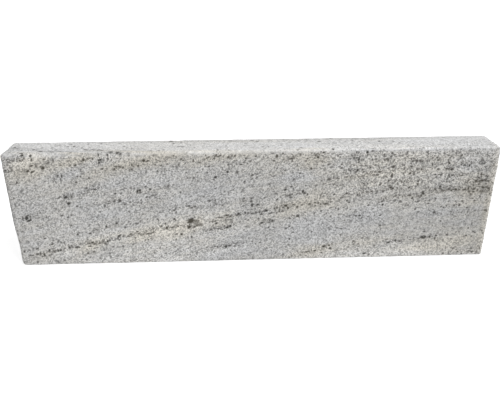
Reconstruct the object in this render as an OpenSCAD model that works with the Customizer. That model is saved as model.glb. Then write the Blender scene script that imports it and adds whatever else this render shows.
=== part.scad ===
// Granite kerb stone, 8 x 25 x 100 cm: one block of pale banded granite, sawn on all six sides.
// Its arrises are eased, most of all those round the head, and its left foot corner is worn round.
// The origin is the middle of the foot. X runs along the kerb, the front looks towards -Y and Z is up.

/* [Block] */
// Length from end to end
length = 1000; // [300:10:2000]
// Height from the foot to the head
height = 250; // [120:5:500]
// Thickness from the front to the back
thickness = 80; // [50:5:300]

/* [Long arrises] */
// Radius between head and front, the arris that stays in sight
head_front_arris = 5; // [1:0.5:15]
// Radius between head and back
head_back_arris = 4; // [1:0.5:15]
// Radius between foot and front
foot_front_arris = 3; // [1:0.5:15]
// Radius between foot and back
foot_back_arris = 3; // [1:0.5:15]

/* [End arrises] */
// Radius of the upright arrises beside the front
front_upright_arris = 4; // [1:0.5:15]
// Radius of the upright arrises beside the back
back_upright_arris = 3; // [1:0.5:15]
// Radius of the short arrises across the head
head_end_arris = 5; // [1:0.5:15]
// Radius of the short arris across the foot at the right end
foot_end_arris = 3; // [1:0.5:15]
// Radius of the worn corner at the foot of the left end
worn_corner = 12; // [1:0.5:40]

/* [Hidden] */
$fn = 96;
STONE_GREY = [0.68, 0.67, 0.65];
// How far a cutter runs past the face that it cuts
past = 1;

// What leaves a quarter round when it is taken off a square corner at the origin, with the stone at +X, +Y
module corner_waste(radius) {
    difference() {
        translate([-past, -past]) square(radius + past);
        translate([radius, radius]) circle(radius);
    }
}

// Rectangle with its low left corner at the origin and a radius of its own at each corner
module eased_rectangle(size, low_left, low_right, high_right, high_left) {
    difference() {
        square(size);
        corner_waste(low_left);
        translate([size.x, 0]) mirror([1, 0]) corner_waste(low_right);
        translate([size.x, size.y]) mirror([1, 0]) mirror([0, 1]) corner_waste(high_right);
        translate([0, size.y]) mirror([0, 1]) corner_waste(high_left);
    }
}

// Cross-section, from front to back and foot to head, drawn out along the kerb
module section_bar() {
    translate([-length / 2, -thickness / 2, 0])
        rotate([90, 0, 90])
            linear_extrude(length)
                eased_rectangle(
                    [thickness, height],
                    foot_front_arris, foot_back_arris, head_back_arris, head_front_arris
                );
}

// Plan, from end to end and front to back, drawn up from foot to head
module plan_bar() {
    translate([-length / 2, -thickness / 2, 0])
        linear_extrude(height)
            eased_rectangle(
                [length, thickness],
                front_upright_arris, front_upright_arris, back_upright_arris, back_upright_arris
            );
}

// Front elevation, from end to end and foot to head, drawn through from back to front
module elevation_bar() {
    translate([-length / 2, thickness / 2, 0])
        rotate([90, 0, 0])
            linear_extrude(thickness)
                eased_rectangle(
                    [length, height],
                    worn_corner, foot_end_arris, head_end_arris, head_end_arris
                );
}

// The whole stone: the block that all three outlines share, so that each arris keeps its own radius
module kerb_stone() {
    color(STONE_GREY)
        intersection() {
            section_bar();
            plan_bar();
            elevation_bar();
        }
}

kerb_stone();
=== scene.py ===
"""The looks of a granite kerb stone, 8 x 25 x 100 cm: sawn faces, eased and slightly chipped arrises, and a
solid pattern of grains, bands, veins and mica. Lengths are in metres, those of the pattern in millimetres."""
import math

import bpy
import numpy as np
from mathutils import Matrix, Vector


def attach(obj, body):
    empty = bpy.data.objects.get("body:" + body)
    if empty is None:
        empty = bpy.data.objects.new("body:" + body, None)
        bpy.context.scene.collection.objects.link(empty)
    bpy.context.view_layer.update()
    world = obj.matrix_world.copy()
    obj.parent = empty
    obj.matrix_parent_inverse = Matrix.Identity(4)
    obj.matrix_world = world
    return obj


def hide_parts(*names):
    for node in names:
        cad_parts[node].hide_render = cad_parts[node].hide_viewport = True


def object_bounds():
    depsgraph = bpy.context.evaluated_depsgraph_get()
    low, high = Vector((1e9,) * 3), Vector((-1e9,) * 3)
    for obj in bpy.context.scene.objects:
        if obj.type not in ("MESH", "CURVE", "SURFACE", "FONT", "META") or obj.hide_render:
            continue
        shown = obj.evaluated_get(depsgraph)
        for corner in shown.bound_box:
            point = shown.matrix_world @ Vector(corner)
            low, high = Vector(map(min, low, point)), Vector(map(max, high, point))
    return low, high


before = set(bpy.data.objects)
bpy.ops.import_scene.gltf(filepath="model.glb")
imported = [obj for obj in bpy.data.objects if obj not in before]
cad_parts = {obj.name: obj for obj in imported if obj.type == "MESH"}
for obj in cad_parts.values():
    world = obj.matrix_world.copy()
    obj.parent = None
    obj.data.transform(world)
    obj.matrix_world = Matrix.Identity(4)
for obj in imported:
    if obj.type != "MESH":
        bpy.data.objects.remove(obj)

CAD_LOW, CAD_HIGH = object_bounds()
SIDES = np.array(CAD_HIGH - CAD_LOW)
LENGTH, THICKNESS, HEIGHT = SIDES
MIDDLE = np.array([0, 0, HEIGHT / 2])
MM = 0.001
SEED = 25
# Least divisor, where a length may be nothing
TINY = 1e-9


# The shape of the stone

HEAD_FRONT_ARRIS = 5.0 * MM
HEAD_BACK_ARRIS = 4.0 * MM
FOOT_ARRIS = 3.0 * MM
FRONT_UPRIGHT_ARRIS = 4.0 * MM
BACK_UPRIGHT_ARRIS = 3.0 * MM
HEAD_END_ARRIS = 5.0 * MM
FOOT_END_ARRIS = 3.0 * MM
WORN_CORNER = 12.0 * MM
# The views: the axes across and up, and the radii at low left, low right, high right and high left
SECTION = (1, 2, (FOOT_ARRIS, FOOT_ARRIS, HEAD_BACK_ARRIS, HEAD_FRONT_ARRIS))
PLAN = (0, 1, (FRONT_UPRIGHT_ARRIS, FRONT_UPRIGHT_ARRIS, BACK_UPRIGHT_ARRIS, BACK_UPRIGHT_ARRIS))
ELEVATION = (0, 2, (WORN_CORNER, FOOT_END_ARRIS, HEAD_END_ARRIS, HEAD_END_ARRIS))
# How softly rounds run into each other, and chips into the stone
BLEND = 1.5 * MM
CHIP_BLEND = 0.5 * MM
# Steps of the grid: the first at an arris, the ratio of each to the last, and the widest
FIRST_STEP = 0.9 * MM
STEP_RATIO = 1.3
WIDEST_STEP = 3.0 * MM
# How far the sawn faces lie below their plane at most, and over what distance they roll
FACE_RELIEF = 0.25 * MM
FACE_ROLL = 14 * MM
# The same for the arrises, and the share of its radius that an arris has at least and may have beyond that
ARRIS_RELIEF = 0.4 * MM
ARRIS_ROLL = 22 * MM
ARRIS_LEAST = 0.75
ARRIS_SWING = 0.6
# Where the outward direction's greatest coordinate is below this, the relief is all that of the arrises
FLAT_LIMIT = 0.8
# Where the head's front arris is worn, over what distance the wear comes in, and what it adds to the radius
WORN_FROM = -0.48
WORN_TO = 0.02
WORN_FADE = 0.05
WEAR = 0.8
# How far the left end runs in between two heights, and how far along the kerb the grid follows it
END_LEAN = 3.4 * MM
END_LEAN_FROM = 0.115
END_LEAN_TO = 0.045
END_LEAN_REACH = 0.03
# Balls that bite chips out of the arrises: how many, their shares on the arrises along the kerb, from front
# to back and upright, their radii and bites in millimetres, how far out they lie in radii, and how far round
# them the stone is looked at
CHIP_COUNT = 40
CHIP_SHARES = (0.8, 0.06, 0.14)
CHIP_RADII = (2.5, 7)
CHIP_BITES = (0.2, 0.7)
CHIP_OUT = 0.62
CHIP_MARGIN = 8 * MM


def grid_lines(length):
    """Places of the grid lines along one side. From each end the steps grow by a fixed ratio until they reach
    the widest, and they are equal from there on."""
    count = int(math.log(WIDEST_STEP / FIRST_STEP) / math.log(STEP_RATIO)) + 1
    growing = FIRST_STEP * STEP_RATIO ** np.arange(count)
    rest = length - 2 * growing.sum()
    equal = np.full(math.ceil(rest / WIDEST_STEP), rest)
    steps = np.concatenate([growing, equal / len(equal), growing[::-1]])
    return np.concatenate([[0], np.cumsum(steps)]) - length / 2


def box_grid():
    """Points and faces of a closed grid over the block, with its middle at the origin. A point is a crossing
    of three sets of grid lines of which at least one is the first or the last, so the six sides share points
    where they meet."""
    lines = [grid_lines(side) for side in SIDES]
    outside = np.ones([len(line) for line in lines], bool)
    outside[1:-1, 1:-1, 1:-1] = False
    where = np.argwhere(outside)
    number = np.full(outside.shape, -1)
    number[outside] = np.arange(len(where))
    points = np.stack([line[where[:, axis]] for axis, line in enumerate(lines)], -1)
    faces = []
    for axis in range(3):
        for end, turned in ((0, axis != 1), (-1, axis == 1)):
            side = np.take(number, end, axis)
            corners = [side[:-1, :-1], side[1:, :-1], side[1:, 1:], side[:-1, 1:]]
            quads = np.stack(corners, -1).reshape(-1, 4)
            faces.append(quads[:, ::-1] if turned else quads)
    return points, np.concatenate(faces)


def past_corner(points, view, easing):
    """How far points lie past the centre of the nearest corner's circle, along both axes of a view, and that
    circle's radius. The easing is a factor for each of the view's four radii."""
    across, up, radii = view
    low_left, low_right, high_right, high_left = [radius * factor for radius, factor in zip(radii, easing)]
    left = points[:, across] < 0
    low = np.where(left, low_left, low_right)
    high = np.where(left, high_left, high_right)
    radius = np.where(points[:, up] < 0, low, high)
    axes = [across, up]
    past = np.abs(points[:, axes]) - SIDES[axes] / 2 + radius[:, None]
    return past.T, radius


def outline_distance(points, view, easing):
    """Distance from the block's outline in a view, less than zero inside it. The nearest corner's circle
    counts where both coordinates run past its centre, and the sides elsewhere."""
    past, radius = past_corner(points, view, easing)
    return np.minimum(past.max(0), 0) + np.hypot(*np.maximum(past, 0)) - radius


def rounded(points, view):
    """Points moved so that the block's corners in a view become round. Squares about the centre of a corner's
    circle become arcs: the way from the centre is multiplied by its greater coordinate over its length."""
    past = np.maximum(past_corner(points, view, (1, 1, 1, 1))[0], 0)
    shorter = past * (1 - past.max(0) / np.maximum(np.hypot(*past), TINY))
    axes = list(view[:2])
    points = points.copy()
    points[:, axes] -= np.sign(points[:, axes]) * shorter.T
    return points


def soft_max(first, second, width):
    """The greater of two values, with a parabola of that width where they are nearly equal."""
    overlap = np.maximum(width - np.abs(first - second), 0)
    return np.maximum(first, second) + overlap**2 / (4 * width)


def waves(points, roll, seed, count=40):
    """Smooth noise from 0 to 1, with a mean of 0.5 and a spread of a quarter: the sum of plane waves with
    random directions and phases, which are 0.7 to 1.8 times as long as the roll."""
    random = np.random.default_rng(seed)
    direction = random.normal(size=(count, 3))
    direction /= np.linalg.norm(direction, axis=1, keepdims=True)
    pace = 2 * np.pi / (roll * random.uniform(0.7, 1.8, count))
    phase = random.uniform(0, 2 * np.pi, count)
    total = np.zeros(len(points))
    for turn, speed, start in zip(direction, pace, phase):
        total += np.sin(points @ turn * speed + start)
    return np.clip(0.5 + total / math.sqrt(8 * count), 0, 1)


def chip_places():
    """Centres and radii of the balls whose inside is bitten out of the arrises. Each lies at a random place
    on a random arris, a little further out than the arris, so that only a shallow bite is left."""
    random = np.random.default_rng(SEED)
    long_axis = random.choice(3, CHIP_COUNT, p=CHIP_SHARES)
    places = random.choice([-1.0, 1.0], (CHIP_COUNT, 3)) * SIDES / 2
    along = random.uniform(-1, 1, CHIP_COUNT)
    rows = np.arange(CHIP_COUNT)
    places[rows, long_axis] = along * SIDES[long_axis] / 2
    radius = random.uniform(*CHIP_RADII, CHIP_COUNT) * MM
    outward = np.sign(places)
    outward[rows, long_axis] = 0
    bite = random.uniform(*CHIP_BITES, CHIP_COUNT)[:, None] * MM
    return places + outward * (radius[:, None] * CHIP_OUT - bite) + MIDDLE, radius


def end_lean(z):
    """How far the left end runs in at a height: a smooth step that grows towards the foot."""
    lean = np.clip((END_LEAN_FROM - z) / (END_LEAN_FROM - END_LEAN_TO), 0, 1)
    return END_LEAN * lean**2 * (3 - 2 * lean)


def round_grid(points):
    """The block's grid with its foot at the origin, its corners made round in each view, and drawn in where
    the left end runs in, so that no faces bunch up when it is drawn onto the stone."""
    for view in (ELEVATION, PLAN, SECTION):
        points = rounded(points, view)
    points += MIDDLE
    points[:, 0] += end_lean(points[:, 2]) * np.clip(1 - (points[:, 0] + LENGTH / 2) / END_LEAN_REACH, 0, 1)
    return points


def stone_distance(points, easing, chips):
    """Distance from the stone, less than zero inside it: the greatest of the distances from its outlines in
    the views. The easing makes the arrises' radii larger or smaller from place to place, and the inside of a
    chip's ball counts as outside the stone."""
    places = points - MIDDLE
    places[:, 0] -= end_lean(points[:, 2]) * (points[:, 0] < 0)
    x = places[:, 0]
    worn = np.clip(np.minimum(x - WORN_FROM, WORN_TO - x) / WORN_FADE, 0, 1)
    section = outline_distance(places, SECTION, (easing, easing, easing, easing + WEAR * worn))
    plan = outline_distance(places, PLAN, (easing, easing, easing, easing))
    elevation = outline_distance(places, ELEVATION, (1, easing, easing, easing))
    distance = soft_max(soft_max(section, plan, BLEND), elevation, BLEND)
    for near, centre, radius in chips:
        inside = radius - np.linalg.norm(points[near] - centre, axis=1)
        distance[near] = soft_max(distance[near], inside, CHIP_BLEND)
    return distance


def steepest(points, easing, chips):
    """Direction in which the distance from the stone grows, by differences over a tenth of a millimetre."""
    reach = 0.1 * MM
    slopes = []
    for step in np.eye(3) * reach:
        ahead = stone_distance(points + step, easing, chips)
        slopes.append(ahead - stone_distance(points - step, easing, chips))
    slope = np.stack(slopes, -1)
    return slope / np.maximum(np.linalg.norm(slope, axis=1, keepdims=True), TINY)


def stone_points(points):
    """Each point of the grid drawn onto the stone: it moves against the steepest direction by its distance,
    three times, and then in by the relief, which is deeper near an arris. No point leaves the block."""
    easing = ARRIS_LEAST + ARRIS_SWING * waves(points, ARRIS_ROLL, SEED + 1)
    chips = []
    for centre, radius in zip(*chip_places()):
        near = np.nonzero(np.abs(points - centre).max(1) < radius + CHIP_MARGIN)[0]
        chips.append((near, centre, radius))
    for _ in range(3):
        outward = steepest(points, easing, chips)
        points = points - outward * stone_distance(points, easing, chips)[:, None]
    outward = steepest(points, easing, chips)
    flat = np.clip((np.abs(outward).max(1) - FLAT_LIMIT) / (1 - FLAT_LIMIT), 0, 1)
    relief = FACE_RELIEF * waves(points, FACE_ROLL, SEED + 2) * flat
    relief += ARRIS_RELIEF * waves(points, ARRIS_ROLL / 2, SEED + 3) * (1 - flat)
    points = points - outward * relief[:, None]
    return np.clip(points, np.array(CAD_LOW), np.array(CAD_HIGH))


# The bands of the stone, in millimetres: x along the kerb, y from front to back, z up from the foot

LEFT = round(CAD_LOW[0] / MM)
RIGHT = round(CAD_HIGH[0] / MM)
FRONT = round(CAD_LOW[1] / MM)
HEAD = round(CAD_HIGH[2] / MM)
# The main vein on the front: its height and slope at the middle of the kerb, and its bend
VEIN_AT_MIDDLE = 115
VEIN_SLOPE = 0.15
VEIN_BEND = -0.00012
# How much the bands, and the grains, rise for each millimetre that they run back
STEEPNESS = 2.5
GRAIN_STEEPNESS = 0.6
# How deep the front's patches go, and the marks and the head's patches
PATCH_DEPTH = 26
MARK_DEPTH = 6


def vein_height(x):
    """Height of the main vein on the front: a parabola along the kerb. Every band runs beside it."""
    return VEIN_AT_MIDDLE + VEIN_SLOPE * x + VEIN_BEND * x * x


def vein_slope(x):
    """Slope of the main vein on the front, the derivative of its height."""
    return VEIN_SLOPE + 2 * VEIN_BEND * x


# Soft patches on the front: x, z, half length, half height, strength in tenths. Below zero, warmth is cool,
# paleness is dark, and streaks are light. Besides the stone's own tone, the paleness patches hold painted
# light and shade: a dark strip down the left upright arris, a pale strip down the right one and a pale strip
# along the foot.
FRONT_PATCHES = {"warmth": [
    (-450, 218, 42, 24, 8), (-365, 231, 30, 14, 6), (-210, 235, 125, 12, 11), (60, 232, 70, 12, 4),
    (-330, 238, 150, 10, 5), (-30, 238, 130, 11, 5), (118, 224, 36, 22, 8), (38, 202, 24, 10, 3),
    (-442, 24, 26, 14, 4), (-345, 42, 36, 14, 8), (-232, 68, 46, 18, 8), (-155, 80, 50, 22, 8.5),
    (-70, 98, 28, 20, 5), (0, 88, 30, 16, 3), (60, 112, 26, 20, 4), (112, 130, 52, 20, 8.5),
    (135, 20, 55, 14, 8), (240, 42, 40, 12, 5), (430, 32, 85, 28, 7), (275, 210, 90, 30, 3),
    (330, 178, 160, 60, 3), (160, 172, 60, 18, 3), (455, 158, 30, 40, 6), (492, 125, 8, 110, 8),
    (330, 20, 60, 14, 3), (-440, 236, 40, 12, 4), (-80, 242, 420, 10, 3), (-117, 95, 9, 9, 8),
    (120, 70, 66, 30, -8), (240, 98, 44, 20, -7), (370, 102, 60, 14, -4), (-370, 206, 32, 12, -6),
    (-190, 198, 40, 20, -3), (-100, 158, 60, 30, -5), (85, 193, 36, 16, -6), (-360, 138, 30, 16, -4),
    (-470, 130, 26, 20, -3), (450, 205, 36, 16, -4), (-20, 60, 60, 24, -3), (-270, 188, 30, 16, -4),
    (-310, 112, 44, 14, -6), (-50, 18, 60, 14, -6),
], "paleness_and_painted_light": [
    (-445, 237, 46, 12, 22), (-300, 237, 150, 12, 9), (-100, 238, 26, 10, 8), (60, 238, 240, 10, 2),
    (138, 238, 30, 10, 5), (198, 238, 40, 10, 13), (340, 238, 45, 10, 8), (320, 238, 180, 12, 4),
    (478, 238, 20, 12, 6), (-482, 202, 14, 12, 6), (-200, 202, 50, 16, 4), (270, 190, 62, 28, 10),
    (-310, 172, 24, 10, 5), (-160, 142, 30, 14, 6), (130, 142, 55, 14, 6), (-105, 112, 60, 12, 5),
    (-330, 100, 90, 16, 4), (-5, 82, 50, 16, 2), (-175, 78, 60, 24, 9), (-145, 83, 65, 13, 7),
    (-210, 82, 28, 9, 6), (-95, 54, 50, 13, 6), (-330, 58, 150, 24, 5), (-345, 50, 95, 14, 12),
    (-250, 28, 160, 30, 9), (-30, 30, 90, 26, 2), (-200, 16, 75, 13, 9), (80, 14, 80, 12, 6),
    # The last patch on the next line and the first three on the line after it, at heights of 3 and 4, are
    # painted light along the foot edge, where the stone meets the floor.
    (147, 18, 55, 13, 8), (200, 22, 60, 20, 7), (325, 19, 115, 20, 11), (-360, 4, 120, 5, 6),
    # The fourth patch on the next line, at x 500, is painted light: a pale strip down the right upright
    # arris, which faces the lamp.
    (-170, 3, 180, 7, 12), (190, 3, 200, 6, 15), (400, 4, 90, 5, 9), (500, 120, 6, 160, 24),
    (440, 236, 90, 24, -3), (478, 200, 20, 30, -6), (-260, 202, 70, 12, -3), (-90, 170, 100, 14, -5),
    (470, 166, 34, 28, -10), (60, 158, 60, 12, -3), (380, 156, 90, 14, -7), (-482, 150, 18, 55, -5),
    (-5, 142, 26, 13, -11), (260, 138, 60, 20, -3), (360, 142, 24, 10, -6), (435, 142, 60, 12, -6),
    (-430, 110, 70, 14, -5), (-20, 110, 40, 14, -4), (410, 110, 80, 18, -6), (490, 90, 26, 70, -7),
    (200, 80, 60, 12, -5), (300, 80, 220, 14, -3), (450, 80, 40, 12, -6), (12, 62, 60, 24, -8),
    # The last patch on the next line, at x -500, is painted shade: a dark strip down the left upright arris,
    # which faces away from the lamp.
    (400, 62, 70, 28, -10), (310, 50, 40, 10, -5), (-490, 45, 16, 40, -10), (-500, 120, 5, 160, -28),
    (-460, 17, 35, 8, -10), (-320, 18, 24, 8, -12), (-20, 18, 85, 12, -6), (240, 18, 60, 12, -5),
    (380, 17, 45, 11, -6), (465, 19, 45, 14, -7),
], "streaks": [
    (-458, 27, 36, 3.4, 7), (-392, 40, 40, 3.6, 8), (-330, 53, 36, 3.4, 8), (-272, 65, 36, 3.4, 7.5),
    (-222, 74, 26, 3.4, 6), (-172, 84, 22, 3.6, 7), (-395, 28, 50, 3, -6), (-275, 50, 16, 4, -6),
    (-325, 62, 18, 3, -5), (-260, 80, 14, 3, -5), (-470, 37, 20, 4, 4), (-412, 55, 14, 4, 4),
    (-372, 72, 14, 3, 4), (-330, 82, 22, 3, 4), (-290, 95, 12, 3, 6), (-382, 157, 18, 4, 8),
    (-330, 173, 20, 4, 8), (-350, 166, 50, 2.5, 5), (-290, 145, 20, 3, 4), (-325, 112, 16, 3, 4),
    (-398, 197, 13, 4, 4), (-275, 220, 9, 4, 8), (-470, 238, 10, 4, 6), (-490, 217, 8, 5, 6),
    (-335, 235, 9, 4, 8), (-310, 232, 8, 4, 8), (-425, 10, 12, 3, 4), (-285, 20, 16, 3, 4),
    (-172, 75, 24, 3, -6), (-215, 150, 36, 3, 5), (-190, 210, 20, 3, 4), (-165, 124, 40, 3, 5),
    (-132, 130, 10, 4, 6), (-130, 94, 12, 9, 4), (-117, 95, 9, 8, 5), (435, 20, 70, 14, 1.5),
    (430, 90, 60, 16, 1.2), (-72, 80, 28, 4, 8), (-42, 108, 32, 4, 8), (-5, 112, 10, 3, 6),
    (-78, 144, 26, 3, 4), (-85, 133, 24, 3, 4), (-90, 168, 20, 3, 4), (-80, 238, 20, 4, 4),
    (-35, 220, 20, 4, 4), (-65, 37, 36, 4, 10), (-185, 20, 16, 3, 4), (-130, 19, 20, 3, 4),
    (-50, 127, 12, 3, -6), (-125, 110, 9, 3, -5), (8, 132, 9, 4, 8), (14, 115, 16, 3.5, 8),
    (45, 115, 22, 3, 4), (62, 126, 18, 4, 8), (120, 132, 20, 3, 4), (148, 131, 13, 4, 8), (25, 92, 16, 5, 8),
    (70, 150, 11, 4, 8), (95, 157, 11, 4, 8), (80, 103, 15, 3, 4), (152, 30, 13, 4, 8), (115, 18, 20, 4, 8),
    (205, 25, 24, 3, 4), (240, 10, 9, 4, 8), (180, 145, 15, 3, 4), (138, 151, 13, 3, 4),
    (225, 154, 26, 3, 4), (150, 174, 28, 3, 4), (195, 190, 55, 3, 5), (240, 197, 12, 4, 6),
    (198, 204, 17, 4, 8), (202, 232, 13, 4, 8), (125, 237, 15, 4, 8), (72, 232, 9, 4, 8),
    (215, 102, 20, 3, 4), (35, 128, 16, 4, -6), (60, 110, 9, 3, -5), (260, 200, 11, 3, 4),
    (280, 162, 16, 4, 10), (262, 158, 14, 3, 5), (265, 135, 11, 4, 8), (320, 146, 34, 3.5, 7),
    (378, 160, 9, 4, 5), (408, 156, 24, 4.5, 7), (448, 156, 14, 4, 5), (480, 160, 11, 4, 6),
    (470, 175, 16, 5, 7), (418, 176, 40, 3, 5), (400, 203, 9, 4, 8), (415, 189, 26, 3, 4),
    (325, 222, 16, 4, 8), (380, 103, 20, 3, 4), (470, 105, 30, 3, 4), (362, 46, 24, 4, 10),
    (410, 51, 22, 3, 6), (298, 38, 24, 4, 8), (475, 8, 9, 4, 8), (300, 81, 50, 2.5, 3), (460, 217, 24, 3, 4),
    (270, 150, 9, 4, -6), (395, 196, 50, 4, -5), (380, 130, 9, 3, -5), (410, 110, 9, 3, -5),
]}
# The same on the head: x, y, half length, half width, strength in tenths
HEAD_PATCHES = {"warmth": [
    (-190, -10, 130, 40, 3), (0, 26, 280, 16, 3), (420, 0, 90, 40, -3), (-420, -24, 60, 14, -3),
], "paleness_and_painted_light": [
    (-330, -28, 130, 12, -14), (-484, -4, 20, 22, -12), (-430, -8, 60, 10, -5), (-300, 28, 90, 8, -5),
    (20, 34, 420, 14, -12), (60, 0, 460, 14, -2), (230, 34, 140, 12, -5), (198, -24, 34, 12, 8),
    (-90, 26, 40, 12, 5),
], "streaks": [
    (-445, -14, 26, 4, 7), (-412, -22, 22, 4, 8), (-385, -22, 20, 4, 5), (-362, -2, 14, 4, 6),
    (-343, -10, 12, 4, 6), (-318, -18, 16, 4, 6), (-300, -22, 16, 4, 5), (-285, -33, 24, 5, 6),
    (-260, -36, 20, 4, 6), (-455, -34, 20, 5, 6), (-430, -36, 14, 4, 5), (-395, 12, 24, 5, 3),
    (-325, 12, 30, 5, 3), (-250, 0, 30, 5, 3), (-160, 20, 20, 5, 4), (-485, 0, 8, 20, 5),
    (-240, -14, 16, 4, 4), (-100, 10, 40, 5, 2), (140, 12, 60, 5, 2), (270, 10, 40, 5, 2),
]}


def front_patches(x, y, z, patches):
    """Sum of soft ellipses that lie along the bands: each one's strength times e to the minus its squared
    distance, in half lengths along the kerb and half heights across the bands. It fades with the depth."""
    depth = y - FRONT
    total = np.zeros_like(x)
    for at_x, at_z, half_length, half_height, tenths in patches:
        level = z - at_z - (vein_height(x) - vein_height(at_x)) - STEEPNESS * depth
        total += tenths / 10 * np.exp(-(((x - at_x) / half_length) ** 2) - (level / half_height) ** 2)
    return total * np.exp(-((depth / PATCH_DEPTH) ** 2))


def head_patches(x, y, z, patches):
    """The same on the head, with half lengths along the kerb and half widths from front to back."""
    total = np.zeros_like(x)
    for at_x, at_y, half_length, half_width, tenths in patches:
        total += tenths / 10 * np.exp(-(((x - at_x) / half_length) ** 2) - ((y - at_y) / half_width) ** 2)
    return total * np.exp(-(((HEAD - z) / MARK_DEPTH) ** 2))


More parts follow.
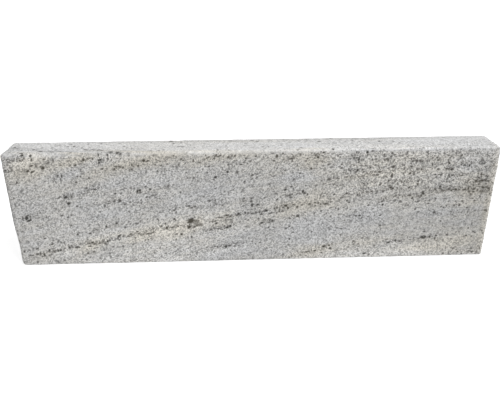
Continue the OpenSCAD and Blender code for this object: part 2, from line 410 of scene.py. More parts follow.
# Dark marks on the front. Each row is for one length, height and darkness in tenths: these three, and then
# the places x, z one after another
FRONT_MARKS = [
    (12, 9, 10, -134, 98), (6, 8, 10, -470, 112), (6, 6, 10, -135, 99), (8, 4, 10, -466, 106),
    (6, 5, 10, -384, 157, -380, 143), (5, 5, 10, -221, 233, -34, 112), (8, 3, 10, 148, 131),
    (6, 4, 10, -58, 81, 15, 90, 24, 118, 64, 129, 149, 30, 281, 165, 404, 203), (4, 6, 10, -239, 167,
    -6, 131, 99, 160), (7, 3, 10, -442, 213, 255, 200, 364, 46), (5, 4, 10, -451, 215, -343, 52, -286, 66,
    -234, 169, -155, 67, -80, 195, 351, 150, 361, 48), (4, 5, 10, -311, 54, -185, 83, -62, 35, 209, 205,
    226, 243, 368, 48), (6, 3, 10, 238, 10), (3, 6, 10, 445, 160), (4, 4, 10, -417, 34, -412, 35, -339, 236,
    -139, 82, -52, 84, 127, 234, 318, 196, 385, 165, 419, 158), (5, 3, 10, -306, 236, -131, 103, 6, 132,
    472, 177), (6, 2, 10, 81, 131), (4, 3, 10, -261, 70, -51, 107, 164, 152, 320, 165, 392, 50, 488, 159),
    (3, 4, 10, 286, 163), (3, 3, 10, -161, 86, 481, 185), (7, 6, 9, -138, 84), (6, 6, 9, -420, 221),
    (4, 7, 9, 281, 191), (5, 5, 9, 350, 153), (8, 3, 9, -58, 109), (6, 4, 9, 90, 104), (4, 6, 9, 44, 238),
    (7, 3, 9, 289, 36), (5, 4, 9, -81, 91, -55, 206, 130, 20, 459, 176), (4, 5, 9, 69, 123, 378, 48,
    380, 106), (6, 3, 9, -460, 40, -442, 226, -173, 84, 221, 102, 476, 161), (4, 4, 9, -435, 36, -392, 41,
    -310, 89, -309, 230, -213, 171, -168, 103, 190, 154, 268, 127, 329, 140, 329, 222, 432, 122),
    (5, 3, 9, -427, 50, -356, 226, -345, 74, 160, 32, 238, 126, 477, 8), (3, 5, 9, -476, 191, -462, 109,
    -139, 95, 46, 125), (4, 3, 9, -372, 41, -364, 137, -324, 173, -284, 163, -283, 68, -247, 75, -127, 84,
    176, 218, 242, 157, 321, 222, 371, 192, 383, 191, 400, 190, 406, 190, 415, 52, 458, 49, 466, 169),
    (3, 4, 9, -487, 34, -371, 72, -20, 114, 51, 116, 200, 231, 213, 150, 275, 180, 341, 204, 375, 204,
    439, 211, 460, 67), (5, 2, 9, 467, 176), (3, 3, 9, -141, 86, -18, 234, 80, 8, 122, 238, 145, 15,
    392, 205, 395, 219, 397, 216), (8, 4, 8, -377, 42), (4, 8, 8, -447, 25), (6, 5, 8, -276, 147, 282, 211),
    (5, 5, 8, 404, 159), (8, 3, 8, -226, 70), (6, 4, 8, 63, 165, 73, 232, 103, 156, 114, 131, 163, 25),
    (4, 6, 8, -455, 28, 210, 228), (7, 3, 8, 14, 110, 437, 157), (3, 7, 8, -386, 203), (5, 4, 8, -394, 204,
    -288, 96, -8, 140, 304, 41, 323, 147), (4, 5, 8, 88, 125), (6, 3, 8, -213, 232, -5, 198, 319, 210,
    343, 133), (3, 6, 8, 390, 44), (8, 2, 8, 115, 19, 355, 45, 426, 189), (4, 4, 8, -359, 189, -304, 217,
    114, 210, 192, 137, 258, 172, 277, 240, 337, 178, 420, 233), (5, 3, 8, -440, 64, -122, 87, -28, 221,
    38, 228, 125, 134, 138, 244, 176, 210, 206, 201, 267, 228, 314, 39, 426, 157, 457, 152, 457, 158),
    (3, 5, 8, -440, 238, -245, 224, -134, 60, 338, 115, 362, 214), (7, 2, 8, -76, 79), (6, 2, 8, 103, 17,
    379, 192, 397, 204, 471, 10, 483, 162), (4, 3, 8, -386, 112, -349, 50, -348, 43, -306, 56, -267, 139,
    -246, 215, -233, 222, -222, 177, -221, 154, -214, 73, -147, 235, -124, 130, -92, 218, -77, 242, -75, 105,
    -53, 221, -40, 239, -31, 110, -21, 184, -14, 114, -7, 147, 2, 238, 30, 91, 56, 243, 75, 171, 121, 66,
    213, 41, 235, 210, 245, 215, 249, 8, 265, 102, 267, 78, 370, 229, 413, 6, 421, 122, 449, 116, 452, 147,
    472, 58), (3, 4, 8, -372, 158, -310, 235, -280, 216, -244, 71, -187, 93, -80, 35, 74, 50, 109, 153,
    261, 237, 337, 172, 348, 145), (5, 2, 8, -301, 141), (3, 3, 8, -248, 95, -167, 123, -86, 80, -22, 147,
    29, 79, 41, 123, 126, 127, 132, 133, 137, 130, 195, 181, 210, 222, 422, 213, 443, 177, 461, 193),
    (4, 2, 8, -297, 142, -241, 68, 225, 28, 423, 131), (2, 4, 8, 490, 156), (7, 5, 7, 152, 186),
    (6, 5, 7, -128, 99, 385, 161, 448, 153), (5, 6, 7, 37, 94), (7, 4, 7, -461, 27, -127, 84, -119, 88),
    (8, 3, 7, -327, 50, -234, 164), (6, 4, 7, -342, 30, 490, 109), (3, 8, 7, -289, 61), (7, 3, 7, 393, 156),
    (3, 7, 7, 270, 225), (5, 4, 7, -93, 77, 149, 218), (4, 5, 7, -308, 136, 74, 147, 336, 223, 375, 159),
    (6, 3, 7, -266, 65, -111, 227, -73, 239, -70, 105, -54, 37, -10, 228, 267, 134, 365, 61, 437, 131),
    (3, 6, 7, -123, 231, 91, 240), (4, 4, 7, -356, 26, -288, 146, -271, 86, -263, 219, -124, 194, 46, 143,
    139, 115, 410, 156, 478, 177), (5, 3, 7, -165, 68, -53, 237, -43, 36, -37, 109, 42, 156, 58, 116,
    59, 125, 81, 66, 92, 200, 184, 72, 197, 133, 237, 245, 245, 228, 346, 108, 365, 127, 434, 18),
    (3, 5, 7, -321, 239, -89, 95, 175, 118, 269, 138), (7, 2, 7, 39, 195), (6, 2, 7, 36, 244, 216, 214,
    282, 237), (4, 3, 7, -437, 24, -424, 224, -396, 158, -355, 202, -277, 65, -238, 100, -196, 87, -143, 232,
    -131, 128, -96, 236, -92, 238, -69, 241, -14, 97, 7, 100, 30, 178, 73, 80, 75, 5, 191, 207, 213, 34,
    213, 102, 222, 201, 225, 215, 341, 145, 345, 142, 379, 138, 393, 233, 397, 176, 399, 117, 445, 10,
    452, 237, 474, 17, 476, 56, 494, 54), (3, 4, 7, -488, 157, -387, 161, -341, 176, -195, 210, -167, 55,
    -152, 163, -137, 90, -64, 84, 77, 154, 158, 135, 167, 236, 204, 243, 259, 29, 308, 242, 397, 85,
    401, 187, 465, 156, 468, 190, 473, 141, 491, 60, 493, 107), (5, 2, 7, -116, 206, 145, 155, 472, 190),
    (3, 3, 7, -463, 238, -457, 238, -402, 40, -335, 46, -286, 57, -232, 55, -225, 56, -199, 224, -166, 100,
    -138, 206, -81, 235, -72, 77, 40, 79, 61, 207, 77, 236, 106, 232, 132, 245, 150, 109, 184, 57, 190, 92,
    201, 215, 207, 136, 226, 172, 235, 165, 237, 227, 244, 194, 283, 162, 369, 153, 455, 4, 468, 186,
    472, 234, 478, 187, 493, 17), (4, 2, 7, -277, 184, -271, 222, -85, 36), (3, 2, 7, -189, 230, -60, 209,
    1, 41), (8, 8, 6, -124, 97), (8, 5, 6, -338, 49), (6, 6, 6, -321, 54), (6, 5, 6, -316, 50, -36, 205,
    305, 133, 333, 205), (5, 6, 6, -424, 33, 266, 157, 464, 223), (7, 4, 6, -94, 143), (5, 5, 6, 279, 169),
    (12, 2, 6, -266, 173), (8, 3, 6, -208, 158), (6, 4, 6, -314, 47, -6, 112, 326, 194), (3, 8, 6, -478, 111,
    -389, 196), (7, 3, 6, -488, 214, 202, 27, 205, 231), (3, 7, 6, -421, 7), (10, 2, 6, -18, 82),
    (5, 4, 6, -494, 217, -415, 239, 168, 188), (4, 5, 6, -291, 238, 72, 153, 263, 226), (9, 2, 6, -346, 228),
    (6, 3, 6, -476, 237, -466, 118, -425, 10, -258, 46, 125, 241, 262, 233), (3, 6, 6, -433, 225, 75, 228,
    295, 173, 338, 149), (4, 4, 6, -476, 25, -464, 8, -402, 53, -280, 42, -187, 222, -83, 96, 2, 115, 32, 97,
    35, 113, 341, 221, 373, 224), (5, 3, 6, -385, 226, -378, 117, -343, 234, -24, 130, 31, 111, 74, 99,
    93, 155, 159, 122, 233, 156, 355, 162, 453, 46), (3, 5, 6, -481, 218, -308, 16, -202, 36, -163, 118,
    -136, 132, -88, 86, 10, 115, 46, 113, 66, 76, 200, 102, 227, 237), (7, 2, 6, 242, 48),
    (6, 2, 6, -235, 69, -219, 71, -192, 232, -155, 88, -93, 33, 155, 175, 217, 190, 285, 44, 353, 138),
    (4, 3, 6, -487, 239, -472, 24, -467, 167, -407, 131, -360, 10, -352, 43, -332, 198, -327, 111, -319, 123,
    -272, 163, -267, 220, -260, 94, -242, 221, -191, 22, -152, 223, -67, 132, -63, 227, -7, 122, -6, 46,
    45, 212, 57, 230, 154, 212, 176, 20, 177, 106, 186, 122, 219, 165, 231, 49, 254, 157, 259, 132, 302, 56,
    302, 179, 374, 186, 392, 163, 393, 119, 408, 238, 414, 158, 414, 238, 417, 154, 426, 42, 463, 132,
    482, 225, 483, 176), (3, 4, 6, -388, 46, -349, 202, -233, 141, -203, 104, -201, 101, -105, 212, -81, 145,
    45, 18, 160, 102, 161, 191, 194, 120, 209, 243, 282, 225, 332, 136, 470, 46, 474, 207, 493, 147),
    (5, 2, 6, -276, 221, -128, 72, -48, 222), (3, 3, 6, -452, 21, -430, 113, -381, 93, -366, 225, -331, 173,
    -303, 231, -263, 98, -260, 123, -220, 59, -170, 37, -169, 86, -161, 242, -114, 87, -103, 34, -98, 242,
    -96, 205, -95, 94, -83, 190, -45, 241, -23, 226, -20, 99, -15, 223, 10, 86, 23, 121, 114, 243, 136, 183,
    149, 153, 157, 231, 169, 121, 186, 203, 195, 101, 224, 35, 225, 159, 228, 163, 231, 122, 244, 234,
    250, 193, 253, 102, 261, 175, 274, 141, 283, 201, 304, 161, 304, 214, 309, 81, 318, 217, 337, 132,
    343, 45, 366, 134, 373, 83, 390, 177, 398, 184, 404, 73, 404, 122, 421, 190, 426, 67, 428, 96, 438, 202,
    441, 58, 458, 137, 459, 215, 470, 214, 488, 133), (4, 2, 6, -330, 238, -311, 63, -187, 210, -25, 42,
    157, 142, 228, 98, 314, 117, 336, 42, 370, 111, 386, 102), (2, 4, 6, -368, 75, -250, 235, 17, 236),
    (3, 2, 6, -80, 170, -35, 37, 232, 195, 236, 195, 241, 193, 262, 127, 426, 123), (2, 3, 6, 201, 117),
    (12, 8, 5, -123, 93), (8, 8, 5, 475, 152), (9, 7, 5, -114, 88), (6, 6, 5, 80, 187, 292, 135),
    (5, 7, 5, -176, 177), (8, 4, 5, 181, 145), (4, 8, 5, -398, 236, 142, 208), (4, 7, 5, -321, 34),
    (8, 3, 5, -427, 39, -22, 141), (6, 4, 5, -486, 234, -200, 244, 66, 151), (4, 6, 5, -462, 115, -48, 94,
    490, 210), (3, 8, 5, -488, 143, -61, 97), (7, 3, 5, -409, 231, 398, 137), (3, 7, 5, -142, 59, 425, 7),
    (10, 2, 5, -287, 40, -134, 194, -53, 99), (5, 4, 5, -484, 223, 79, 77, 294, 146, 416, 107),
    (4, 5, 5, -407, 11, -345, 93, -310, 25, -256, 144, 73, 36), (6, 3, 5, -446, 112, -431, 26, -398, 116,
    -334, 111, -259, 7, -222, 162, -81, 135, -57, 105, 20, 97, 126, 173), (3, 6, 5, -450, 94, -347, 214,
    -264, 194, -251, 175, -249, 245, 452, 106, 466, 77), (8, 2, 5, -469, 20, -326, 240, -206, 163, -40, 229,
    172, 239), (4, 4, 5, -471, 171, -345, 207, 216, 37, 217, 148), (5, 3, 5, -488, 228, -203, 153, -103, 73,
    5, 200, 11, 43, 175, 74, 187, 190, 252, 152, 295, 234, 438, 21, 461, 198), (3, 5, 5, -454, 242, -440, 95,
    -402, 195, -237, 225, -218, 209, -215, 24, 141, 176, 304, 196, 384, 238), (7, 2, 5, -49, 165),
    (6, 2, 5, -240, 143, 64, 170, 125, 173, 205, 198, 292, 81), (4, 3, 5, -482, 233, -470, 218, -468, 236,
    -467, 241, -466, 145, -456, 115, -440, 184, -415, 55, -405, 36, -352, 16, -352, 59, -344, 142, -339, 170,
    -337, 172, -331, 14, -273, 186, -252, 61, -236, 33, -206, 83, -196, 119, -141, 131, -126, 106, -124, 21,
    -118, 104, -114, 31, -105, 153, -100, 190, -69, 157, -62, 163, -30, 225, -25, 145, -7, 189, 61, 13,
    77, 202, 98, 130, 105, 113, 136, 151, 153, 202, 194, 214, 239, 99, 258, 220, 267, 87, 276, 234, 293, 206,
    309, 179, 322, 124, 344, 107, 370, 37, 394, 56, 416, 245, 444, 68, 481, 170, 488, 7),
    (3, 4, 5, -482, 239, -408, 54, -369, 165, -325, 92, -308, 248, -267, 6, -252, 72, -245, 173, -235, 16,
    -174, 225, -163, 219, -116, 187, -88, 145, -25, 166, 4, 193, 79, 166, 99, 10, 103, 226, 113, 83,
    125, 109, 135, 144, 146, 106, 153, 44, 157, 75, 159, 72, 166, 36, 256, 64, 290, 223, 295, 164, 299, 142,
    301, 157, 346, 176, 350, 242, 358, 185, 477, 198), (2, 6, 5, -69, 140), (5, 2, 5, -448, 118, -291, 20,
    -67, 145, 39, 103, 144, 234, 176, 137, 211, 112, 268, 199), (3, 3, 5, -480, 142, -471, 150, -448, 142,
    -420, 193, -413, 87, -307, 160, -306, 164, -301, 41, -298, 213, -284, 235, -270, 205, -268, 92,
    -254, 134, -220, 82, -217, 57, -214, 82, -196, 235, -185, 112, -177, 211, -172, 211, -167, 155,
    -156, 218, -142, 33, -139, 17, -139, 226, -88, 22, -49, 235, -48, 195, -48, 207, -27, 162, -19, 230,
    -13, 54, 20, 147, 26, 235, 67, 30, 69, 210, 70, 45, 70, 222, 74, 194, 78, 108, 82, 99, 99, 194, 104, 173,
    120, 210, 134, 84, 143, 86, 167, 91, 181, 168, 187, 105, 239, 161, 257, 128, 262, 60, 269, 69, 273, 214,
    296, 24, 300, 149, 302, 130, 313, 177, 316, 122, 317, 54, 330, 48, 347, 84, 358, 134, 359, 24, 361, 163,
    364, 233, 377, 113, 381, 53, 395, 38, 396, 102, 404, 228, 407, 71, 408, 131, 420, 100, 425, 164, 429, 20,
    452, 207, 455, 98, 466, 10), (4, 2, 5, -466, 41, -453, 57, -388, 58, -360, 96, -340, 221, -338, 81,
    -334, 85, -202, 159, -179, 83, -64, 201, 30, 199, 32, 74, 63, 42, 180, 200, 207, 165, 225, 95, 240, 139,
    289, 178, 343, 69, 482, 87), (2, 4, 5, -384, 148, -243, 95, -101, 234, -52, 26, 194, 87),
    (3, 2, 5, -333, 52, -310, 168, -183, 64, -175, 188, 13, 210, 26, 167, 34, 167, 72, 181, 229, 191),
    (2, 3, 5, -64, 69, 82, 147),
]
# The same on the head: length, width, darkness, and then the places x, y
HEAD_MARKS = [
    (4, 7, 10, -367, 8), (5, 5, 10, -457, -38, 137, 16), (7, 6, 9, -425, -22), (7, 4, 9, -338, -15),
    (4, 6, 9, -443, -10), (4, 5, 9, 157, -35), (4, 4, 9, -441, -38), (3, 3, 9, -291, -39),
    (7, 7, 8, -460, -32, -272, -34), (6, 8, 8, -286, -32), (7, 5, 8, -403, -26), (4, 8, 8, -486, 6),
    (7, 4, 8, -323, -16), (4, 7, 8, 262, 10), (4, 4, 8, -145, -6), (3, 5, 8, -309, -38),
    (5, 6, 7, -312, -18), (5, 5, 7, -266, -38), (6, 4, 7, 7, 20), (4, 6, 7, -166, 14), (4, 5, 7, -379, 6,
    -265, 1), (3, 6, 7, -74, -30), (4, 4, 7, -305, -23, -17, 8, 164, 36, 191, 10, 291, 6),
    (7, 8, 6, -172, 30), (4, 6, 6, -409, 0, -376, 19), (3, 8, 6, -349, -4), (7, 3, 6, -435, -18),
    (5, 4, 6, -207, -28, -3, 27), (4, 5, 6, -182, -24, -191, -28, 112, 25), (4, 4, 6, 93, 20, 236, 20,
    94, -24, 340, -36), (3, 5, 6, -247, -13, -155, -6, 29, -15), (3, 4, 6, 210, -16), (7, 4, 5, 395, 12),
    (5, 5, 5, -143, 34, -51, -32, -48, 28), (6, 4, 5, 33, 36), (4, 6, 5, -486, -24, -478, -2, -466, -13,
    -430, 2), (5, 4, 5, -20, -6), (4, 5, 5, -150, -3, -150, 20, -95, 28, 63, 20), (3, 6, 5, -258, -8,
    -130, 3, 56, -6), (4, 4, 5, -358, 6, 75, 10, 165, 4, 207, 18, 221, 10, 86, -36, 238, -36, 300, -4,
    436, -37), (3, 5, 5, -121, -14, -57, -4), (3, 4, 5, -213, 24, 171, 4, 18, -14, 20, -27),
    (3, 3, 5, 332, -38), (4, 8, 4, -315, 25), (4, 7, 4, -398, -14, -386, -24, -365, -30), (7, 3, 4, 405, 28),
    (3, 7, 4, -341, 20), (5, 4, 4, -398, 15), (4, 5, 4, -468, -28, -277, 20, 425, -8), (4, 4, 4, -217, 36,
    464, 5), (3, 5, 4, -333, -2),
]
# Width of the strips across the kerb in which the marks near a face are looked for
STRIP = 25
# How much larger a mark is drawn than it was read, and how much more at the full darkness
MARK_SPREAD = 1.06
DARK_SPREAD = 0.22
# What the head's marks are multiplied by besides, along the kerb and from front to back
HEAD_SPREAD = (1.15, 0.92)


def mark_table():
    """The marks of both faces as rows of numbers: centre, half sizes, slope of the bands there, and darkness.
    Each is an ellipsoid that reaches a little way into the stone."""
    rows = []
    for long, high, dark, *places in FRONT_MARKS:
        for x, z in zip(places[::2], places[1::2]):
            rows.append((x, FRONT, z, long / 2, MARK_DEPTH, high / 2, vein_slope(x), dark / 10))
    for long, wide, dark, *places in HEAD_MARKS:
        along, across = long / 2 * HEAD_SPREAD[0], wide / 2 * HEAD_SPREAD[1]
        for x, y in zip(places[::2], places[1::2]):
            rows.append((x, y, HEAD, along, across, MARK_DEPTH, 0, dark / 10))
    table = np.array(rows)
    table[:, 3:6] *= MARK_SPREAD + DARK_SPREAD * table[:, 7:]
    return table


def way_from(marks, places):
    """The way from the middles of marks to places, in half sizes of the mark. The height counts from the band
    that runs through the middle: it is the offset up less the slope times the offset along the kerb."""
    offset = places - marks[..., 0:3]
    level = offset[..., 2] - marks[..., 6] * offset[..., 0]
    return np.stack([offset[..., 0], offset[..., 1], level], -1) / marks[..., 3:6]


def nearest_marks(centres, marks):
    """Rows of the two marks whose edges are nearest to each centre. The edge's distance is that of the
    middle, less that of the middle divided by the length of the way in half sizes."""
    nearest = np.zeros((len(centres), 2), int)
    for left in range(LEFT, RIGHT, STRIP):
        here = np.nonzero((centres[:, 0] >= left) & (centres[:, 0] < left + STRIP))[0]
        near = np.nonzero(np.abs(marks[:, 0] - left - STRIP / 2) < STRIP)[0]
        reach = np.linalg.norm(way_from(marks[None, near], centres[here, None]), axis=-1)
        distance = np.linalg.norm(centres[here, None] - marks[None, near, 0:3], axis=-1)
        edge = distance - distance / np.maximum(reach, TINY)
        nearest[here] = near[np.argsort(edge, 1)[:, :2]]
    return nearest


def store(mesh, name, kind, domain, values):
    """Keeps numbers or vectors at the mesh's points or at its faces' corners."""
    field = "vector" if kind == "FLOAT_VECTOR" else "value"
    mesh.attributes.new(name, kind, domain).data.foreach_set(field, values.astype(np.float32).ravel())


def new_object(name, data):
    """A new object in the scene, at the origin."""
    made = bpy.data.objects.new(name, data)
    bpy.context.scene.collection.objects.link(made)
    return made


def make_stone():
    """The stone, with what was placed as numbers at its points and at its faces' corners. All corners of a
    face look to the same two marks, so that each mark keeps its outline whatever the grid is."""
    points, faces = box_grid()
    points = stone_points(round_grid(points))
    mesh = bpy.data.meshes.new("granite_block")
    mesh.from_pydata(points, [], faces)
    mesh.polygons.foreach_set("use_smooth", np.ones(len(faces), bool))
    places = points / MM
    x, y, z = places.T
    for name in ("warmth", "paleness_and_painted_light", "streaks"):
        soft = front_patches(x, y, z, FRONT_PATCHES[name]) + head_patches(x, y, z, HEAD_PATCHES[name])
        store(mesh, name, "FLOAT", "POINT", soft)
    marks = mark_table()
    corners = places[faces]
    nearest = nearest_marks(corners.mean(1), marks)
    for rank in range(2):
        chosen = marks[nearest[:, rank], None]
        store(mesh, f"way_{rank}", "FLOAT_VECTOR", "CORNER", way_from(chosen, corners))
        store(mesh, f"darkness_{rank}", "FLOAT", "CORNER", np.repeat(chosen[:, 0, 7], 4))
    mesh.update()
    return new_object("granite_block", mesh)


# Shader maths as Python expressions


class Value:
    """An output of a shader node, for use in expressions: each operation adds one Math node."""

    def __init__(self, shader, socket):
        self.shader = shader
        self.socket = socket

    def math(self, operation, *others):
        return self.shader.add("Math", [self, *others], operation=operation)

    def __add__(self, other):
        return self.math("ADD", other)

    __radd__ = __add__

    def __sub__(self, other):
        return self.math("SUBTRACT", other)

    def __rsub__(self, other):
        return self.shader.add("Math", [other, self], operation="SUBTRACT")

    def __mul__(self, other):
        return self.math("MULTIPLY", other)

    __rmul__ = __mul__

    def __truediv__(self, other):
        return self.math("DIVIDE", other)

    def __pow__(self, other):
        return self.math("POWER", other)

    def rises(self, low, high):
        """0 up to low, 1 from high on, and a smooth step between them."""
        return self.shader.add(
            "MapRange", {"Value": self, "From Min": low, "From Max": high}, interpolation_type="SMOOTHSTEP"
        )


class Shader:
    """The nodes of one material or of the world."""

    def __init__(self, owner):
        owner.use_nodes = True
        self.tree = owner.node_tree
        self.tree.nodes.clear()

    def add(self, kind, values=(), output=0, **settings):
        """Adds a node of that kind, sets its settings first, then the values or links of its sockets, which
        are named or in order, and gives back one of its outputs."""
        node = self.tree.nodes.new("ShaderNode" + kind)
        for name, setting in settings.items():
            setattr(node, name, setting)
        open_sockets = [socket for socket in node.inputs if socket.enabled]
        named = {socket.name: socket for socket in reversed(open_sockets)}
        pairs = values.items() if isinstance(values, dict) else enumerate(values)
        for key, value in pairs:
            socket = named[key] if isinstance(key, str) else open_sockets[key]
            if isinstance(value, Value):
                self.tree.links.new(value.socket, socket)
            else:
                socket.default_value = value
        if isinstance(output, str):
            return Value(self, node.outputs[output])
        outputs = [socket for socket in node.outputs if socket.enabled]
        return Value(self, outputs[output]) if outputs else None

    def mix(self, factor, first, second):
        """The first colour at factor 0 and the second at 1."""
        return self.add("Mix", {"Factor": factor, "A": first, "B": second}, data_type="RGBA")

    def scaled(self, vector, factor):
        """A place or a colour times a number."""
        return self.add("VectorMath", {"Vector": vector, "Scale": factor}, operation="SCALE")

    def attribute(self, name, output="Fac"):
        return self.add("Attribute", output=output, attribute_name=name)

    def noise(self, place, size, detail, output=0):
        return self.add("TexNoise", {"Vector": place, "Scale": 1 / size, "Detail": detail}, output=output)

    def cells(self, place, size, output="Color"):
        """Grains of that size: the colour is another for each, and the distance is that from its middle."""
        return self.add("TexVoronoi", {"Vector": place, "Scale": 1 / size}, output=output)

    def lot(self, colour, channel):
        """A number from 0 to 1 that each grain draws for itself."""
        return self.add("SeparateColor", [colour], output=channel)


def tone(level, blue):
    """A linear colour with that level of red, and with blue as a share of it. Green lies nearer to red."""
    return (level, level * (0.67 + 0.33 * blue), level * blue, 1)


# The granite, with its sizes in millimetres

GRAIN_SIZE = 2.15
COARSE_SIZE = 4.0
FLAKE_SIZE = 2.1
CLOT_SIZE = 5
GRIT_SIZE = 1.1
# Sizes of what makes the grains' and the marks' edges uneven
SHAKE_SIZE = 2.5
RAGGED_SIZE = 1.6
# Lengths of the bands' waves along the kerb, from front to back, and upwards or across the bands
SWAY = (90, 60, 60)
BROAD_BAND = (150, 90, 16)
THIN_BAND = (40, 40, 3.5)
TINT_BAND = (70, 40, 14)
CLOUD = (9, 9, 5)
# How high the bands sway, and how steeply the clouds rise towards the back
SWAY_HEIGHT = 12
CLOUD_STEEPNESS = 0.625
# Depths over which what was placed gives way to the solid pattern
SKIN = (4, 9)
# Where the head's front arris turns from worn to sharp, and where its painted highlight comes in
SHARP_FROM = (-330, -130)
# Where coarse stone begins, along the kerb and above the main vein
COARSE_FROM = (110, 230)
COARSE_ABOVE = (-15, 25)
# Where calm stone begins in the same way, and where it ends above
CALM_FROM = (230, 320)
CALM_ABOVE = (-130, -105)
CALM_BELOW = (-50, -25)
# Level of the vein at the back, and how it fades on both sides
BACK_VEIN = -190
BACK_VEIN_FADE = (1, 6)
# Share of mica among the grains, and what bands, coarse stone and streaks add to it
MICA_SHARE = 0.057
BROAD_BAND_MICA = 0.06
COARSE_MICA = 0.13
THIN_BAND_MICA = 0.08
UNPLACED_MICA = 0.2
STREAK_MICA = 0.48
# The same for clots
CLOT_SHARE = 0.05
COARSE_CLOTS = 0.1
# How much a flake hides the pale stone, and how much less on the head
FLAKE_COVER = 0.66
HEAD_FLAKE_COVER = 0.2
# Where a mark fades, in half sizes, how ragged its edge is, and the power that lifts faint marks
MARK_FADE = (0.45, 1.5)
RAGGED = 0.9
DARKNESS_POWER = 0.7
# Grey of the pale stone, contrast of its grains and grit, and how much its bright end is held down
PALE_GREY = 0.645
GRAIN_CONTRAST = 0.57
GRIT_CONTRAST = 0.42
CEILING = 0.7
# Contrast of the patches, of the broad bands, what these gain where nothing was placed, and of the clouds
PATCH_CONTRAST = 0.14
BAND_CONTRAST = 0.28
UNPLACED_CONTRAST = 0.3
CLOUD_CONTRAST = 0.3
COOL_STONE = tone(1.0, 1.008)
CREAM_STONE = tone(1.0, 0.865)
COOL_MICA = tone(0.05, 0.85)
WARM_MICA = tone(0.065, 0.65)


def granite():
    """Pale banded granite as a solid: a mosaic of feldspar and quartz, flakes of dark mica that gather in
    clots and streaks, and cream, cool, pale and dark bands that run along the kerb and rise to the right."""
    material = bpy.data.materials.new("banded_granite")
    shader = Shader(material)
    place = shader.scaled(shader.add("TexCoord", output="Object"), 1 / MM)
    x, y, z = [shader.add("SeparateXYZ", [place], output=axis) for axis in "XYZ"]

    def band(lengths, up, detail):
        """Noise with waves of these lengths. The third runs along the value given."""
        along, back, across = lengths
        return shader.noise(shader.add("CombineXYZ", [x / along, y / back, up / across]), 1, detail)

    # The level counts up from the main vein, across the bands. Clouds and grains lean back less
    above_vein = z - (x * x * VEIN_BEND + x * VEIN_SLOPE + VEIN_AT_MIDDLE)
    level = above_vein - (y - FRONT) * STEEPNESS + (band(SWAY, z, 1) - 0.5) * SWAY_HEIGHT
    broad_band = band(BROAD_BAND, level, 3)
    thin_band = band(THIN_BAND, level, 2)
    tint_band = band(TINT_BAND, level, 3) - 0.5
    cloud = band(CLOUD, above_vein - y * CLOUD_STEEPNESS, 1) - 0.5
    flow = shader.add("CombineXYZ", [x * 0.95, y * 0.8, above_vein - (y - FRONT) * GRAIN_STEEPNESS])

    # Where the stone differs: 1 there and 0 elsewhere
    on_front = 1 - (y - FRONT).rises(*SKIN)
    on_head = 1 - (HEAD - z).rises(*SKIN)
    unplaced = 1 - on_front.math("MAXIMUM", on_head)
    arris = on_front * on_head
    sharp = arris * x.rises(*SHARP_FROM)
    coarse = x.rises(*COARSE_FROM) * level.rises(*COARSE_ABOVE)
    calm = x.rises(*CALM_FROM) * level.rises(*CALM_ABOVE) * (1 - level.rises(*CALM_BELOW))
    back_vein = unplaced * (1 - (level - BACK_VEIN).math("ABSOLUTE").rises(*BACK_VEIN_FADE))
    streak = shader.attribute("streaks")

    # The mosaic: each grain draws a grey and a tint of its own. Coarse stone has larger grains mixed in
    shake = shader.noise(place, SHAKE_SIZE, 1, output="Color")
    shaken = shader.add("VectorMath", [flow, shader.scaled(shake, 0.8)], operation="ADD")
    grain = shader.cells(shaken, GRAIN_SIZE)
    coarse_lot = shader.lot(shader.cells(shaken, COARSE_SIZE), "Red") - 0.5
    grain_lot = shader.lot(grain, "Red") - 0.5
    grain_lot = grain_lot * (1 - coarse * 0.2) + coarse_lot * coarse * 0.45
    tint_lot = shader.lot(grain, "Green") - 0.5
    grit = shader.noise(place, GRIT_SIZE, 2) - 0.5

    # The flakes: a grain is mica where its own lot is below the share of mica there
    flake_lot = shader.lot(shader.cells(shaken, FLAKE_SIZE), "Blue")
    share = MICA_SHARE + broad_band.rises(0.45, 0.75) * BROAD_BAND_MICA + coarse * COARSE_MICA
    share = share + thin_band.rises(0.55, 0.8) * (THIN_BAND_MICA + unplaced * UNPLACED_MICA)
    share = share + (streak + back_vein) * STREAK_MICA
    flakes = (share - flake_lot).rises(-0.04, 0.1) * (FLAKE_COVER - on_head * HEAD_FLAKE_COVER)

    # The clots, chosen in the same way, but round, and only where nothing was placed
    clot_lot = shader.lot(shader.cells(shaken, CLOT_SIZE), "Red")
    clot_reach = shader.cells(shaken, CLOT_SIZE, "Distance") + grit * 0.4
    clots = (CLOT_SHARE + coarse * COARSE_CLOTS - clot_lot).rises(0, 0.05) * (1 - clot_reach.rises(0.25, 0.5))
    mica = (clots * unplaced).math("MAXIMUM", flakes)

    # The placed marks, ragged at the edge, more so on the head, and a little uneven
    ragged = (shader.noise(place, RAGGED_SIZE, 1) - 0.5) * (RAGGED + on_head * RAGGED)
    for rank in range(2):
        way = shader.attribute(f"way_{rank}", "Vector")
        reach = shader.add("VectorMath", [way], output="Value", operation="LENGTH")
        mark = (1 - (reach + ragged).rises(*MARK_FADE)) * (1.2 - flake_lot * 0.2)
        mark = mark * shader.attribute(f"darkness_{rank}") ** DARKNESS_POWER
        mica = mica.math("MAXIMUM", mark.math("MINIMUM", 1))

    # The greys, with less contrast on the head, at the sharp arris and in calm stone
    grey = grain_lot * (GRAIN_CONTRAST + coarse * 0.1) * (1 - sharp * 0.3 - on_head * 0.3 - calm * 0.2)
    grey = grey + grit * GRIT_CONTRAST * (1 - calm * 0.3 - on_head * 0.3)
    light = PALE_GREY + grey - grey * grey * CEILING
    # The paleness patches hold the stone's own pale and dark tone, and painted light and shade on the upright
    # arrises and along the foot edge.
    bands = 1 + shader.attribute("paleness_and_painted_light") * PATCH_CONTRAST + cloud * CLOUD_CONTRAST
    bands = bands - (broad_band - 0.5) * (BAND_CONTRAST + unplaced * UNPLACED_CONTRAST)
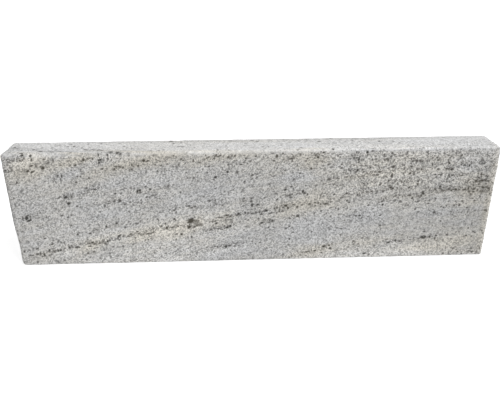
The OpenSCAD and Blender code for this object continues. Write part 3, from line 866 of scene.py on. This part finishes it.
    # Painted light on the head's front arris: 0.09 darker along all of it, painted shade, and 0.12 lighter on
    # its sharp stretch, a painted highlight. The whole head is 0.045 darker, painted shade. The streaks'
    # darkening is the stone's own.
    bands = bands - streak * 0.06 + sharp * 0.12 - arris * 0.09 - on_head * 0.045

    # The colours of the pale stone and of the mica, from cool to warm
    warmth = shader.attribute("warmth") + tint_band * (1.3 + unplaced) + tint_lot * 0.3 - on_head * 0.3
    warmth = (warmth + 0.09).rises(-0.6, 1.2)
    pale = shader.scaled(shader.mix(warmth, COOL_STONE, CREAM_STONE), light * bands)
    dark = shader.mix(warmth.rises(0.4, 0.8), COOL_MICA, WARM_MICA)

    # Mica is smoother than the pale stone and lies a little deeper
    relief = grit * 0.5 + grain_lot * 0.3 - mica * 0.5
    bump = shader.add("Bump", {"Strength": 0.3, "Distance": 0.5 * MM, "Height": relief})
    looks = {"Base Color": shader.mix(mica, pale, dark), "Roughness": 0.82 - mica * 0.3, "Normal": bump}
    surface = shader.add("BsdfPrincipled", {**looks, "Specular IOR Level": 0.35})
    shader.add("OutputMaterial", {"Surface": surface})
    return material


# The stage

WHITE = tone(1.0, 1.0)
# The floor's side, its grey, and how much it glows where it is seen
FLOOR_SIDE = 30
FLOOR_GREY = 0.45
FLOOR_GLOW = 0.78
# How strongly the sky and the lamp light, and in degrees how high the lamp stands, how far round to the right
# of the front, and how wide it is
SKY = 0.48
KEY_LIGHT = 0.7
KEY_ELEVATION = 58
KEY_AZIMUTH = 50
KEY_SPREAD = 20


def seen_directly(shader):
    """1 where a thing is seen directly, in a gloss or through glass, and 0 where it only lights others."""
    rays = [shader.add("LightPath", output=f"Is {kind} Ray") for kind in ("Camera", "Glossy", "Transmission")]
    return rays[0].math("MAXIMUM", rays[1]).math("MAXIMUM", rays[2])


def make_floor():
    """A pale floor that catches the stone's shadow and shows white elsewhere."""
    half = FLOOR_SIDE / 2
    mesh = bpy.data.meshes.new("floor")
    corners = [(-half, -half, 0), (half, -half, 0), (half, half, 0), (-half, half, 0)]
    mesh.from_pydata(corners, [], [(0, 1, 2, 3)])
    floor = new_object("floor", mesh)
    material = bpy.data.materials.new("pale_floor")
    shader = Shader(material)
    matt = shader.add("BsdfDiffuse", {"Color": tone(FLOOR_GREY, 1.0)})
    glow = shader.add("Emission", {"Color": WHITE, "Strength": seen_directly(shader) * FLOOR_GLOW})
    shader.add("OutputMaterial", {"Surface": shader.add("AddShader", [matt, glow])})
    mesh.materials.append(material)


def make_light():
    """An even sky that looks white but lights less, and one soft lamp high in front on the right."""
    world = bpy.data.worlds.new("white_sky")
    bpy.context.scene.world = world
    shader = Shader(world)
    strength = SKY + seen_directly(shader) * (1 - SKY)
    sky = shader.add("Background", {"Color": WHITE, "Strength": strength})
    shader.add("OutputWorld", {"Surface": sky})
    lamp = bpy.data.lights.new("key_lamp", "SUN")
    lamp.energy = KEY_LIGHT * math.pi
    lamp.angle = math.radians(KEY_SPREAD)
    key = new_object("key_lamp", lamp)
    azimuth, elevation = math.radians(KEY_AZIMUTH), math.radians(KEY_ELEVATION)
    level = math.cos(elevation)
    towards = Vector((math.sin(azimuth) * level, -math.cos(azimuth) * level, math.sin(elevation)))
    key.rotation_euler = towards.to_track_quat("Z", "Y").to_euler()


# The camera: its place in metres, its turns in degrees, and its lens and sensor in millimetres
CAMERA_PLACE = (-0.0512, -1.0627, 0.597)
CAMERA_YAW = 2.30
CAMERA_PITCH = 23.91
CAMERA_ROLL = -0.19
CAMERA_LENS = 39.06
CAMERA_SENSOR = 36


def make_camera():
    """The camera of the photograph: turned right by the yaw, tilted down by the pitch, and rolled."""
    camera = new_object("camera", bpy.data.cameras.new("camera"))
    camera.data.lens = CAMERA_LENS
    camera.data.sensor_width = CAMERA_SENSOR
    turned = Matrix.Rotation(math.radians(-CAMERA_YAW), 4, "Z")
    tilted = Matrix.Rotation(math.radians(90 - CAMERA_PITCH), 4, "X")
    rolled = Matrix.Rotation(math.radians(CAMERA_ROLL), 4, "Z")
    camera.matrix_world = Matrix.Translation(CAMERA_PLACE) @ turned @ tilted @ rolled
    bpy.context.scene.camera = camera


make_camera()
make_light()
make_floor()
stone = make_stone()
stone.data.materials.append(granite())
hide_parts("kerb_stone")
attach(stone, "root")
bpy.context.scene.view_settings.view_transform = "Standard"
